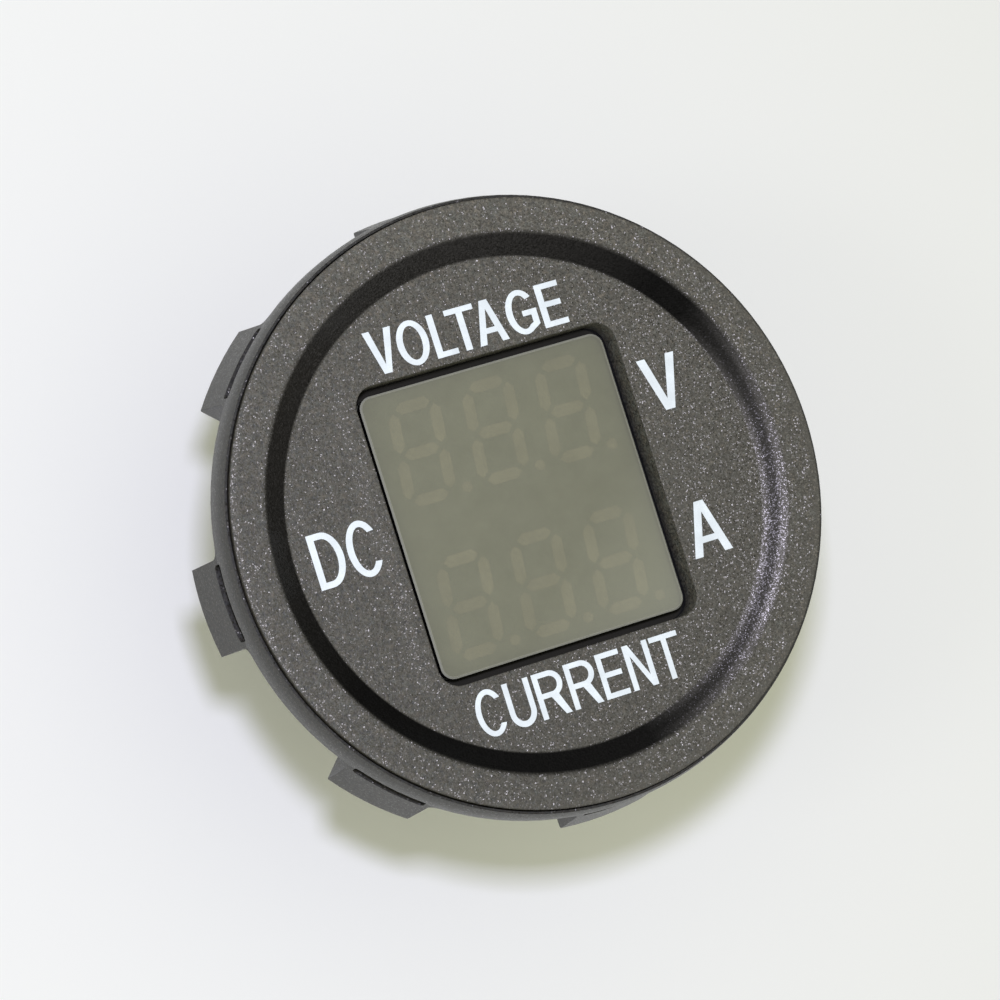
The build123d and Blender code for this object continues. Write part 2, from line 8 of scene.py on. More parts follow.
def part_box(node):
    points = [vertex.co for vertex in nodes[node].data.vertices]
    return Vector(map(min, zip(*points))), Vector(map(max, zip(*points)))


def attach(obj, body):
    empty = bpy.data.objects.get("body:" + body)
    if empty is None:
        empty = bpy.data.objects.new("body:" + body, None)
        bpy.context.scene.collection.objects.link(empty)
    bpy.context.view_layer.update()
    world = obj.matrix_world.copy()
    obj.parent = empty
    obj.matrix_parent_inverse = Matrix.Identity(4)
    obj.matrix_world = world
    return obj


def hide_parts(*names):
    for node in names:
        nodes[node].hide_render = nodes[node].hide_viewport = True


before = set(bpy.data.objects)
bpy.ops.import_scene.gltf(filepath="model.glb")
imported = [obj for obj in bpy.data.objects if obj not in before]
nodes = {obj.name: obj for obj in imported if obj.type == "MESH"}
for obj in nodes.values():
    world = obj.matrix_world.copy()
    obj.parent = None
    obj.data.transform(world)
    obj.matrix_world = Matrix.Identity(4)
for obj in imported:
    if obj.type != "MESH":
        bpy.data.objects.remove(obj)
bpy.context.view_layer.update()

scene = bpy.context.scene
mm = 0.001

# Places that the new pieces seat on, read from the frame
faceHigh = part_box("face_housing")[1]
casingLow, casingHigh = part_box("barrel_casing")
lensLow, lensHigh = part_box("display_lens")
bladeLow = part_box("supply_terminal")[0]
print("frame loaded:", len(nodes), "nodes, face at", round(faceHigh.z / mm, 2), "mm")


# Node helpers: a value is a plain one or another node's output, and a material may be the world

def feed(material, socket, value):
    if isinstance(value, bpy.types.NodeSocket):
        material.node_tree.links.new(value, socket)
    else:
        socket.default_value = value


def addNode(material, kind, sockets=None, **settings):
    node = material.node_tree.nodes.new(kind)
    for key, value in settings.items():
        setattr(node, key, value)
    for key, value in (sockets or {}).items():
        feed(material, node.inputs[key], value)
    return node


def newMaterial(name):
    material = bpy.data.materials.new(name)
    material.use_nodes = True
    material.node_tree.nodes.clear()
    return material


def setSurface(material, shader):
    addNode(material, "ShaderNodeOutputMaterial", {"Surface": shader.outputs[0]})
    return material


def opaque(colour):
    if isinstance(colour, bpy.types.NodeSocket):
        return colour
    return tuple(colour) + (1,)


def shaded(colour, share):
    return tuple(channel * share for channel in colour)


def mathNode(material, operation, first, second=0.0):
    return addNode(material, "ShaderNodeMath", {0: first, 1: second}, operation=operation).outputs[0]


def times(material, first, second):
    return mathNode(material, "MULTIPLY", first, second)


def vectorMath(material, operation, first, second=None, share=None):
    node = addNode(material, "ShaderNodeVectorMath", {0: first}, operation=operation)
    if second is not None:
        feed(material, node.inputs[1], second)
    if share is not None:
        feed(material, node.inputs["Scale"], share)
    return node.outputs["Value" if operation in ("LENGTH", "DOT_PRODUCT") else "Vector"]


def remap(material, source, low, high, newLow, newHigh):
    spans = {"From Min": low, "From Max": high, "To Min": newLow, "To Max": newHigh}
    return addNode(material, "ShaderNodeMapRange", {"Value": source, **spans}).outputs["Result"]


def towards(material, vector, side, low, high):
    # grows from 0 to 1 as a vector reaches further to one side
    return remap(material, vectorMath(material, "DOT_PRODUCT", vector, side), low, high, 0, 1)


def mixed(material, kind, share, first, second, **settings):
    sockets = {"Factor": share, "A": first, "B": second}
    return addNode(material, "ShaderNodeMix", sockets, data_type=kind, **settings).outputs["Result"]


def mixColour(material, share, first, second, **settings):
    return mixed(material, "RGBA", share, opaque(first), opaque(second), **settings)


def addBump(material, height, strength, depth, normal=None):
    sockets = {"Height": height, "Strength": strength, "Distance": depth}
    if normal is not None:
        sockets["Normal"] = normal
    return addNode(material, "ShaderNodeBump", sockets).outputs["Normal"]


def millimetres(material):
    # the piece's own place, counted in millimetres
    where = addNode(material, "ShaderNodeTexCoord").outputs["Object"]
    return vectorMath(material, "SCALE", where, share=1 / mm)


def grainNoise(material, where, perMillimetre, detail=2.0, roughness=0.5):
    sockets = {"Vector": where, "Scale": perMillimetre, "Detail": detail, "Roughness": roughness}
    return addNode(material, "ShaderNodeTexNoise", sockets).outputs["Fac"]


def paint(name, material):
    mesh = nodes[name].data
    mesh.materials.clear()
    mesh.materials.append(material)


def meshPiece(name, points, faces, material):
    mesh = bpy.data.meshes.new(name)
    mesh.from_pydata(points, [], faces)
    mesh.validate()
    for polygon in mesh.polygons:
        polygon.use_smooth = False
    mesh.materials.append(material)
    piece = bpy.data.objects.new(name, mesh)
    scene.collection.objects.link(piece)
    return piece


# Spark-textured plastic with metal flake, for the face moulding
sparkPlastic = {
    "flatColour": (0.0645, 0.0603, 0.0482),
    "paintedLightColour": (0.101, 0.0942, 0.0755),    # painted light: the moulding is painted a little paler on one side, where light falls stronger
    "paintedLightSide": (0.876, 0.482, 0),
    "paintedLightSpan": (-12, 12),            # mm
    "paintedLightLevels": (7.9, 8.3),         # mm, and more so on the rim than on the sunk face
    "paintedLightShares": (0.65, 1.25),
    # the slope's near black is partly its own smoother finish, partly painted shade for the slope lying in
    # shade
    "bandFinishAndShade": (0.0065, 0.0065, 0.0065),
    "flatRoughness": 0.45,
    "bandRoughness": 0.42,
    "gloss": 0.43,
    "bandInner": (14.97, 15.12),     # mm, where the dark slope fades in and out
    "bandOuter": (16.25, 16.58),
    "wallTop": 7.62,                 # mm, the window's walls and the skirt lie below this
    "wallBare": 0.35,                # how many fewer flakes lie on the walls
    # painted light: the window's walls and the skirt are painted paler than the flats, for the light they
    # catch
    "wallLitColour": (0.125, 0.12, 0.1),
    "edgeRadius": 0.15 * mm,
    "grainPerMm": 5.0,
    "pitsPerMm": 11.0,
    "grainDepth": 0.035 * mm,
    "flakePerMm": 13.0,
    "flakeShare": 0.32,
    "moreFlakes": (0, 0.4),          # painted light: more of them lie towards the side of the slope's painted highlight, for the stronger sparkle there
    "moreSpan": (-8, 14),            # mm
    "flakeLean": 1.15,
    "flakeRoughness": 0.33,
    "flakeMetal": 0.6,
    "bandFlakeMetal": 1,
    "flakeColour": (0.11, 0.104, 0.088),
    # painted shade and light on the slope's flakes: dark where the slope lies in shade, pale on its lit side
    "bandFlakeShaded": (0.013, 0.0125, 0.012),
    "bandFlakeLit": (0.085, 0.08, 0.075),
    "litSide": (-0.596, 0.803, 0),      # painted light: the slope is painted paler on this side, for the light it catches there
    "litSpan": (0.1, 1),
    "highlightColour": (0.152, 0.143, 0.136),
    "highlightSide": (0.917, -0.399, 0),    # painted highlight: the slope's flakes are brightest towards this side, standing in for the light's reflection there
    "highlightSpan": (0.55, 0.97),
    "highlightMiddle": 15.65,           # mm, the painted highlight is weakest halfway up the slope and brighter at its edges
    "highlightEdges": (0.15, 0.5, 0.35, 1),
    "carriedLean": 0.42,             # flakes lie more alike where the melt turned a corner
    "bandFlow": (0.276, -0.272, 0),  # the way the melt carried the flakes over the slope
    "rimEdge": (17.9, 18.25),        # mm, start of the outer rounding
    "rimEdgeFlow": 0.2,
    "windowGap": 0.5,                # mm round the lens
    "windowCorner": 1.3,
    "lipInner": (0.35, 0.8),         # mm from the window
    "lipOuter": (1.2, 1.8),
    "lipSide": (-0.98, 0.2, 0),      # the lip shows on this side of the window
    "lipSpan": (0.3, 1),
    "lipCarried": 0.65,
    "windowLipFlow": 0.25,
}

# Smoother plastic of the same kind, for the clip ring
ringPlastic = {
    "flatColour": (0.026, 0.0247, 0.0215),
    "flatRoughness": 0.4,
    "gloss": 0.3,
    "edgeRadius": 0.06 * mm,
    "grainPerMm": 5.0,
    "pitsPerMm": 12.0,
    "grainDepth": 0.008 * mm,
    "flakePerMm": 13.0,
    "flakeShare": 0.2,
    "flakeLean": 0.9,
    "flakeRoughness": 0.31,
    "flakeMetal": 0.55,
    "flakeColour": (0.048, 0.045, 0.038),
}

# What both plastics share: grain in two sizes, and a slight drift of its tint
sparkGrain = {
    "roughness": 0.6,
    "pitShare": 0.6,
    "reliefSpan": (0.55, 1.05),
    "shades": (0.4, 1.6),
    "bumpStrength": 0.8,
    "tintPerMm": 3.0,
    "tintSpan": (0.3, 0.7),
    "redDrift": 0.07,
    "blueDrift": -0.05,
    "bend": 1.49,                    # how much the plastic bends light
}


def roundPlace(material, where):
    # height above the panel, distance from the face's axis, and the way outwards from it
    apart = addNode(material, "ShaderNodeSeparateXYZ", {0: where}).outputs
    across = addNode(material, "ShaderNodeCombineXYZ", {"X": apart["X"], "Y": apart["Y"]}).outputs[0]
    radius = vectorMath(material, "LENGTH", across)
    return apart["Z"], radius, vectorMath(material, "NORMALIZE", across)


def windowPlace(material, where, spec):
    # distance from the rounded window, and the way outwards from it
    corner = spec["windowCorner"]
    halfX = (lensHigh.x - lensLow.x) / 2 / mm + spec["windowGap"] - corner
    halfY = (lensHigh.y - lensLow.y) / 2 / mm + spec["windowGap"] - corner
    away = vectorMath(material, "ABSOLUTE", where)
    past = vectorMath(material, "SUBTRACT", away, (halfX, halfY, 100))    # height plays no part
    kept = vectorMath(material, "MAXIMUM", past, (0, 0, 0))
    signed = vectorMath(material, "MULTIPLY", kept, vectorMath(material, "SIGN", where))
    gap = mathNode(material, "SUBTRACT", vectorMath(material, "LENGTH", kept), corner)
    return gap, vectorMath(material, "NORMALIZE", signed)


def facePlace(material, where, spec):
    # which part of the face moulding a point is on
    height, radius, outward = roundPlace(material, where)
    gap, fromWindow = windowPlace(material, where, spec)
    wall = mathNode(material, "LESS_THAN", height, spec["wallTop"])
    slope = remap(material, radius, *spec["bandInner"], 0, 1)
    slope = times(material, slope, remap(material, radius, *spec["bandOuter"], 1, 0))
    lip = remap(material, gap, *spec["lipInner"], 0, 1)
    lip = times(material, lip, remap(material, gap, *spec["lipOuter"], 1, 0))
    lip = times(material, lip, mathNode(material, "SUBTRACT", 1, wall))
    lip = times(material, lip, towards(material, fromWindow, spec["lipSide"], *spec["lipSpan"]))
    return {
        "where": where, "height": height, "radius": radius, "outward": outward,
        "slope": slope, "wall": wall, "lip": lip, "fromWindow": fromWindow,
        "rim": remap(material, radius, *spec["rimEdge"], 0, 1),
    }


def faceColours(material, at, spec):
    # painted light: the moulding is paler towards one side, more so on the rim than on the sunk face
    paintedLight = towards(material, at["where"], spec["paintedLightSide"], *spec["paintedLightSpan"])
    paintedLight = times(material, paintedLight, remap(material, at["height"], *spec["paintedLightLevels"], *spec["paintedLightShares"]))
    bare = mixColour(material, paintedLight, spec["flatColour"], spec["paintedLightColour"])
    # painted light: the walls and the skirt are paler
    bare = mixColour(material, at["wall"], bare, spec["wallLitColour"])
    # the slope's near black: partly its own finish, partly painted shade
    bare = mixColour(material, at["slope"], bare, spec["bandFinishAndShade"])

    # painted highlight on the slope, brightest towards one side and at the slope's edges
    fromMiddle = mathNode(material, "SUBTRACT", at["radius"], spec["highlightMiddle"])
    edges = remap(material, mathNode(material, "ABSOLUTE", fromMiddle), *spec["highlightEdges"])
    highlight = towards(material, at["outward"], spec["highlightSide"], *spec["highlightSpan"])
    # painted shade and light: the slope's flakes are dark, and paler on one side
    litShare = towards(material, at["outward"], spec["litSide"], *spec["litSpan"])
    flakes = mixColour(material, litShare, spec["bandFlakeShaded"], spec["bandFlakeLit"])
    flakes = mixColour(material, times(material, highlight, edges), flakes, spec["highlightColour"])
    return bare, mixColour(material, at["slope"], spec["flakeColour"], flakes)


def faceFlakes(material, at, spec):
    # how many flakes lie here, how far they lean, and which way the melt carried them
    across = vectorMath(material, "DOT_PRODUCT", at["where"], spec["highlightSide"])
    share = mathNode(material, "ADD", at["slope"], spec["flakeShare"])
    # painted light: more flakes towards the side of the slope's painted highlight
    share = mathNode(material, "ADD", share, remap(material, across, *spec["moreSpan"], *spec["moreFlakes"]))
    share = mathNode(material, "SUBTRACT", share, times(material, at["wall"], spec["wallBare"]))
    carried = mathNode(material, "MAXIMUM", at["rim"], times(material, at["lip"], spec["lipCarried"]))
    carried = mathNode(material, "MAXIMUM", at["slope"], carried)
    lean = remap(material, carried, 0, 1, spec["flakeLean"], spec["carriedLean"])
    flow = vectorMath(material, "SCALE", spec["bandFlow"], share=at["slope"])
    for way, zone, amount in (("outward", "rim", "rimEdgeFlow"), ("fromWindow", "lip", "windowLipFlow")):
        part = vectorMath(material, "SCALE", at[way], share=times(material, at[zone], spec[amount]))
        flow = vectorMath(material, "ADD", flow, part)
    return share, lean, flow


def leanFlakes(material, cells, flake, lean, flow, under):
    # each flake gets its own lean over the surface's normal
    swings = {}
    for axis, channel in (("X", "Green"), ("Y", "Blue")):
        swings[axis] = times(material, mathNode(material, "SUBTRACT", cells[channel], 0.5), lean)
    laid = addNode(material, "ShaderNodeCombineXYZ", swings).outputs[0]
    laid = vectorMath(material, "ADD", laid, under)
    if flow is not None:
        laid = vectorMath(material, "ADD", laid, flow)
    return mixed(material, "VECTOR", flake, under, vectorMath(material, "NORMALIZE", laid))


def tintShades(material, where, shade, spec):
    tint = grainNoise(material, where, spec["tintPerMm"], detail=1.0)
    channels = {"Green": shade}
    for channel, drift in (("Red", spec["redDrift"]), ("Blue", spec["blueDrift"])):
        drifted = remap(material, tint, *spec["tintSpan"], 1 - drift, 1 + drift)
        channels[channel] = times(material, shade, drifted)
    return addNode(material, "ShaderNodeCombineColor", channels).outputs[0]


def makeFlakePlastic(name, spec, onFace=False):
    material = newMaterial(name)
    where = millimetres(material)
    grain = grainNoise(material, where, spec["grainPerMm"], detail=2.0, roughness=sparkGrain["roughness"])
    pits = grainNoise(material, where, spec["pitsPerMm"], detail=1.0)
    relief = mathNode(material, "ADD", grain, times(material, pits, sparkGrain["pitShare"]))
    shade = remap(material, relief, *sparkGrain["reliefSpan"], *sparkGrain["shades"])

    bare, flakeColour = spec["flatColour"], spec["flakeColour"]
    share, lean, flow = spec["flakeShare"], spec["flakeLean"], None
    roughness, metal = spec["flatRoughness"], spec["flakeMetal"]
    if onFace:
        at = facePlace(material, where, spec)
        bare, flakeColour = faceColours(material, at, spec)
        share, lean, flow = faceFlakes(material, at, spec)
        roughness = remap(material, at["slope"], 0, 1, roughness, spec["bandRoughness"])
        metal = remap(material, at["slope"], 0, 1, metal, spec["bandFlakeMetal"])
    tints = tintShades(material, where, shade, sparkGrain)
    bare = mixColour(material, 1.0, bare, tints, blend_type="MULTIPLY")
    worn = addNode(material, "ShaderNodeBevel", {"Radius": spec["edgeRadius"]}, samples=4).outputs[0]
    under = addBump(material, relief, sparkGrain["bumpStrength"], spec["grainDepth"], normal=worn)

    # flakes: a share of the cells, each leaning its own way
    sizes = {"Vector": where, "Scale": spec["flakePerMm"], "Randomness": 1.0}
    speckles = addNode(material, "ShaderNodeTexVoronoi", sizes).outputs["Color"]
    cells = addNode(material, "ShaderNodeSeparateColor", {0: speckles}).outputs
    flake = mathNode(material, "LESS_THAN", cells["Red"], share)
    return setSurface(material, addNode(material, "ShaderNodeBsdfPrincipled", {
        "IOR": sparkGrain["bend"],
        "Specular IOR Level": spec["gloss"],
        "Base Color": mixColour(material, flake, bare, flakeColour),
        "Metallic": times(material, flake, metal),
        "Roughness": mixed(material, "FLOAT", flake, roughness, spec["flakeRoughness"]),
        "Normal": leanFlakes(material, cells, flake, lean, flow, under),
    }))


# Plainer finishes: colour, roughness, metal, grain per mm, grain depth in mm, and how far the shade varies
finishes = {
    "casingNylon": ((0.035, 0.035, 0.036), 0.45, 0, 3.0, 0.008, 0.2),
    "gasketRubber": ((0.022, 0.022, 0.022), 0.75, 0, 5.0, 0.012, 0.25),
    "sealFoam": ((0.012, 0.012, 0.012), 0.9, 0, 9.0, 0.03, 0.4),
    "headerBlack": ((0.02, 0.02, 0.02), 0.5, 0, 6.0, 0.004, 0.2),
    "chipEpoxy": ((0.025, 0.025, 0.027), 0.6, 0, 12.0, 0.004, 0.3),
    "boardMask": ((0.01, 0.09, 0.035), 0.38, 0, 2.5, 0.003, 0.25),
    "capacitorTan": ((0.35, 0.24, 0.13), 0.45, 0, 5.0, 0.003, 0.15),
    "resistorBlack": ((0.03, 0.03, 0.035), 0.35, 0, 5.0, 0.003, 0.2),
    "canAluminium": ((0.8, 0.8, 0.82), 0.3, 1, 8.0, 0.004, 0.08),
    "shuntAlloy": ((0.55, 0.42, 0.33), 0.35, 1, 6.0, 0.006, 0.15),
    "tinnedBrass": ((0.72, 0.7, 0.66), 0.28, 1, 4.0, 0.004, 0.12),
    "ledChip": ((0.75, 0.7, 0.45), 0.4, 0, 10.0, 0.004, 0.1),
    "barResin": ((0.337, 0.303, 0.235), 0.5, 0, 5.0, 0.004, 0.2),
    "printInk": ((0.77, 0.83, 0.87), 0.5, 0, 12.0, 0.008, 0.08),
}
plainGrain = {
    "bend": 1.5,
    "broadening": 12,            # the broad patches are this much larger than the grain
    "patchSpan": (0.12, 0.4),
    "roughSpan": (0.3, 0.7),
    "roughSwing": 0.1,
    "bumpStrength": 0.6,
}


def makeFinish(name, spec):
    colour, roughness, metal, grain, depth, vary = spec
    swing = plainGrain["roughSwing"]
    material = newMaterial(name)
    where = millimetres(material)
    fine = grainNoise(material, where, grain, detail=3.0)
    broad = grainNoise(material, where, grain / plainGrain["broadening"], detail=1.0)
    patches = remap(material, times(material, fine, broad), *plainGrain["patchSpan"], 0, 1)
    worn = remap(
        material, broad, *plainGrain["roughSpan"], roughness * (1 - swing), roughness * (1 + swing)
    )
    return setSurface(material, addNode(material, "ShaderNodeBsdfPrincipled", {
        "Metallic": metal,
        "IOR": plainGrain["bend"],
        "Base Color": mixColour(material, patches, shaded(colour, 1 - vary), shaded(colour, 1 + vary)),
        "Roughness": worn,
        "Normal": addBump(material, fine, plainGrain["bumpStrength"], depth * mm),
    }))


# Satin smoked lens
lensFilm = {
    "colour": (0.298, 0.296, 0.22),
    "roughness": 0.4,
    "bend": 1.49,
    "hazePerMm": 0.7,
    "hazeSpan": (0.3, 0.7),
    "hazeSwing": 0.05,
    "litColour": (0.425, 0.425, 0.33),
    "litSide": (0.7, -0.7, 0),       # painted light: the film is painted paler towards this corner, where light falls stronger
    "litSpan": (4, 12),              # mm
    "edgeColour": (0.43, 0.43, 0.35),
    "edge": (-0.15, -0.07),           # mm, the cut edge starts this far in
    "clear": 0.5,
    "edgeClear": 0.1,
    "clearTint": (0.88, 0.88, 0.8),
    # painted shade: the plate's side is near black, for the shade in the gap round the lens
    "sideColour": (0.004, 0.004, 0.004),
    "sideTop": lensHigh.z / mm - 0.1,
    "sideSkin": -0.02,                # mm
    "filmFrom": lensHigh.z / mm - 0.3,
    "windowGap": 0,
    "windowCorner": 0.8,
    "satinPerMm": 9.0,
    "satinStrength": 0.4,
    "satinDepth": 0.004 * mm,
}


def makeLensFilm(spec):
    material = newMaterial("lensFilm")
    where = millimetres(material)
    level = addNode(material, "ShaderNodeSeparateXYZ", {0: where}).outputs["Z"]
    gap = windowPlace(material, where, spec)[0]
    edge = remap(material, gap, *spec["edge"], 0, 1)
    below = mathNode(material, "LESS_THAN", level, spec["sideTop"])
    side = times(material, below, mathNode(material, "GREATER_THAN", gap, spec["sideSkin"]))

    haze = grainNoise(material, where, spec["hazePerMm"], detail=4.0, roughness=0.6)
    haze = remap(material, haze, *spec["hazeSpan"], 0, 1)
    swing = spec["hazeSwing"]
    colour = mixColour(material, haze, shaded(spec["colour"], 1 - swing), shaded(spec["colour"], 1 + swing))
    # painted light: the film is paler towards one corner
    litShare = towards(material, where, spec["litSide"], *spec["litSpan"])
    colour = mixColour(material, litShare, colour, spec["litColour"])
    colour = mixColour(material, edge, colour, spec["edgeColour"])
    satin = grainNoise(material, where, spec["satinPerMm"], detail=2.0)
    film = addNode(material, "ShaderNodeBsdfPrincipled", {
        "IOR": spec["bend"],
        "Roughness": spec["roughness"],
        "Base Color": mixColour(material, side, colour, spec["sideColour"]),
        "Normal": addBump(material, satin, spec["satinStrength"], spec["satinDepth"]),
    })

    # only the top is coated: light passes the rest of the plate freely, but not its side, painted black as
    # the shade in the gap round the lens
    under = mathNode(material, "LESS_THAN", level, spec["filmFrom"])
    clear = remap(material, edge, 0, 1, spec["clear"], spec["edgeClear"])
    clear = mathNode(material, "MAXIMUM", clear, under)
    clear = times(material, clear, mathNode(material, "SUBTRACT", 1, side))
    through = addNode(material, "ShaderNodeBsdfTransparent", {"Color": opaque(spec["clearTint"])})
    layers = {0: clear, 1: film.outputs[0], 2: through.outputs[0]}
    return setSurface(material, addNode(material, "ShaderNodeMixShader", layers))


# Display body: grey face under the lens, dark sides
displayShell = {
    "faceColour": (0.2, 0.21, 0.17),
    "sideColour": (0.027, 0.0255, 0.0195),
    "faceFrom": lensLow.z / mm - 0.1,      # mm
    "roughness": 0.8,
    "gloss": 0.1,
    "cloudPerMm": 0.25,
    "cloudSpan": (0.35, 0.65),
    "cloudShade": 0.85,
    "finePerMm": 5.0,
    "fineStrength": 0.5,
    "fineDepth": 0.004 * mm,
}


def makeDisplayShell(spec):
    material = newMaterial("displayShell")
    where = millimetres(material)
    level = addNode(material, "ShaderNodeSeparateXYZ", {0: where}).outputs["Z"]
    front = mathNode(material, "GREATER_THAN", level, spec["faceFrom"])
    cloud = remap(material, grainNoise(material, where, spec["cloudPerMm"]), *spec["cloudSpan"], 0, 1)
    face = mixColour(material, cloud, shaded(spec["faceColour"], spec["cloudShade"]), spec["faceColour"])
    fine = grainNoise(material, where, spec["finePerMm"])
    return setSurface(material, addNode(material, "ShaderNodeBsdfPrincipled", {
        "Roughness": spec["roughness"],
        "Specular IOR Level": spec["gloss"],
        "Base Color": mixColour(material, front, spec["sideColour"], face),
        "Normal": addBump(material, fine, spec["fineStrength"], spec["fineDepth"]),
    }))


sparkMaterial = makeFlakePlastic("sparkPlastic", sparkPlastic, onFace=True)
ringMaterial = makeFlakePlastic("ringPlastic", ringPlastic)
lensMaterial = makeLensFilm(lensFilm)
made = {name: makeFinish(name, spec) for name, spec in finishes.items()}

nodeFinish = {
    "panel_gasket": "gasketRubber",
    "display_seal": "sealFoam",
    "rear_cap": "casingNylon",
    "voltage_figures": "barResin",
    "current_figures": "barResin",
    "display_leds": "ledChip",
    "display_board": "boardMask",
    "meter_board": "boardMask",
    "header_plugs": "headerBlack",
    "header_sockets": "headerBlack",
    "header_pins": "tinnedBrass",
    "supply_terminal": "tinnedBrass",
    "battery_terminal": "tinnedBrass",
    "load_terminal": "tinnedBrass",
    "current_shunt": "shuntAlloy",
    "microcontroller": "chipEpoxy",
    "current_amplifier": "chipEpoxy",
    "voltage_regulator": "chipEpoxy",
    "protection_diode": "chipEpoxy",
    "smoothing_capacitor": "canAluminium",
    "chip_resistors": "resistorBlack",
    "chip_capacitors": "capacitorTan",
}
ownFinish = {
    "face_housing": sparkMaterial,
    "clip_ring": ringMaterial,
    "display_lens": lensMaterial,
    "display_body": makeDisplayShell(displayShell),
}
for nodeName, finishName in nodeFinish.items():
    paint(nodeName, made[finishName])
for nodeName, material in ownFinish.items():
    paint(nodeName, material)
print("finishes laid on", len(nodeFinish) + len(ownFinish), "nodes")


# Lens plate, just clear of the figures under it
lensPlate = {
    "corner": 0.8,            # mm
    "cornerSteps": 10,
    "chamfer": 0.1,
    "lift": 0.03,
}


def roundedOutline(halfX, halfY, corner, steps):
    outline = []
    for quarter, (signX, signY) in enumerate(((1, 1), (-1, 1), (-1, -1), (1, -1))):
        for step in range(steps + 1):
            turn = radians(90 * (quarter + step / steps))
            outline.append((
                signX * (halfX - corner) + corner * cos(turn),
                signY * (halfY - corner) + corner * sin(turn),
            ))
    return outline


def makeLens(spec):
    halfX, halfY = (lensHigh.x - lensLow.x) / 2 / mm, (lensHigh.y - lensLow.y) / 2 / mm
    middle = (lensLow + lensHigh) / 2 / mm
    low, high, cut = lensLow.z / mm + spec["lift"], lensHigh.z / mm, spec["chamfer"]
    points, count = [], 4 * (spec["cornerSteps"] + 1)
    for inset, level in ((0, low), (0, high - cut), (cut, high)):
        outline = roundedOutline(halfX - inset, halfY - inset, spec["corner"] - inset, spec["cornerSteps"])
        points += [((middle.x + x) * mm, (middle.y + y) * mm, level * mm) for x, y in outline]
    faces = [tuple(range(count - 1, -1, -1)), tuple(range(2 * count, 3 * count))]
    for row in (0, count):
        for step in range(count):
            after = (step + 1) % count
            faces.append((row + step, row + after, row + count + after, row + count + step))
    piece = meshPiece("lens_plate", points, faces, lensMaterial)
    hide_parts("display_lens")
    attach(piece, "root")


makeLens(lensPlate)
print("lens plate laid")


# Printed legends. A letter is drawn one unit tall from closed loops: its outline, then any hole in it.
lettering = {
    "arcStep": 9,             # degrees between the points of a round stroke
    "overshoot": 0.015,       # a round letter reaches this much past a flat one
    "usualGap": 0.085,
    "pairGaps": {"LT": -0.09, "TA": -0.08, "VO": 0.03, "NT": 0.05},
}
legends = {                   # mm on the sunk face: left, right, foot and height, then stem and bar
    "VOLTAGE": (-6.86, 6.01, 9.77, 2.70, 0.152, 0.125),
    "CURRENT": (-7.14, 6.48, -12.77, 2.80, 0.126, 0.115),
    "V": (9.31, 11.84, 2.96, 3.35, 0.14, 0.12),
    "A": (9.14, 11.70, -6.27, 3.37, 0.14, 0.115),
    "DC": (-13.91, -9.71, -1.54, 3.35, 0.135, 0.115),
}
printLayer = {"height": 0.03, "lift": 0.002, "level": 7.68}   # mm, and the level of the sunk face
roundHalf = 0.5 + lettering["overshoot"]


def arc(centreX, centreY, radiusX, radiusY, start, end):
    steps = max(2, round(abs(end - start) / lettering["arcStep"]))
    turns = [radians(start + (end - start) * step / steps) for step in range(steps + 1)]
    return [(centreX + radiusX * cos(turn), centreY + radiusY * sin(turn)) for turn in turns]


def letterV(width, stem, bar):
    half, edge, foot, crotch = width / 2, stem * 1.08, stem * 0.6, 0.2
    outline = [(0, 1), (edge, 1), (half, crotch), (width - edge, 1), (width, 1)]
    return [outline + [(half + foot, 0), (half - foot, 0)]]


def letterA(width, stem, bar):
    half, edge, tip, apex, barLow = width / 2, stem * 1.06, stem * 0.6, 0.8, 0.24
    barHigh = barLow + bar

    def innerX(y):
        return edge + (half - edge) * y / apex

    outline = [(0, 0), (half - tip, 1), (half + tip, 1), (width, 0), (width - edge, 0)]
    outline += [(width - innerX(barLow), barLow), (innerX(barLow), barLow), (edge, 0)]
    hole = [(innerX(barHigh), barHigh), (width - innerX(barHigh), barHigh), (half, apex)]
    return [outline, hole]


def letterL(width, stem, bar):
    return [[(0, 0), (0, 1), (stem, 1), (stem, bar), (width, bar), (width, 0)]]


def letterT(width, stem, bar):
    left, right, low = width / 2 - stem / 2, width / 2 + stem / 2, 1 - bar
    return [[(left, 0), (left, low), (0, low), (0, 1), (width, 1), (width, low), (right, low), (right, 0)]]


def letterE(width, stem, bar):
    low, upper, middle = 0.455, width - 0.02, width - 0.06    # the upper arms are shorter
    outline = [(0, 0), (0, 1), (upper, 1), (upper, 1 - bar), (stem, 1 - bar), (stem, low + bar)]
    outline += [(middle, low + bar), (middle, low), (stem, low), (stem, bar), (width, bar), (width, 0)]
    return [outline]


def letterN(width, stem, bar):
    slant, notch = stem * 1.1, 0.25
    outline = [(0, 0), (0, 1), (slant, 1), (width - stem, notch), (width - stem, 1), (width, 1)]
    outline += [(width, 0), (width - slant, 0), (stem, 1 - notch), (stem, 0)]
    return [outline]


def letterO(width, stem, bar):
    half = width / 2
    outline = arc(half, 0.5, half, roundHalf, 0, 360)[:-1]
    hole = arc(half, 0.5, half - stem, roundHalf - bar, 0, 360)[:-1]
    return [outline, hole]


def letterD(width, stem, bar):
    bend = width * 0.42
    outline = [(0, 0), (0, 1)] + arc(bend, 0.5, width - bend, 0.5, 90, -90)
    hole = [(stem, bar), (stem, 1 - bar)] + arc(bend, 0.5, width - bend - stem, 0.5 - bar, 90, -90)
    return [outline, hole]


def letterU(width, stem, bar):
    half, low = width / 2, 0.33
    outline = [(0, 1)] + arc(half, low, half, low + lettering["overshoot"], 180, 360)
    outline += [(width, 1), (width - stem, 1)]
    outline += arc(half, low, half - stem, low - bar, 360, 180) + [(stem, 1)]
    return [outline]


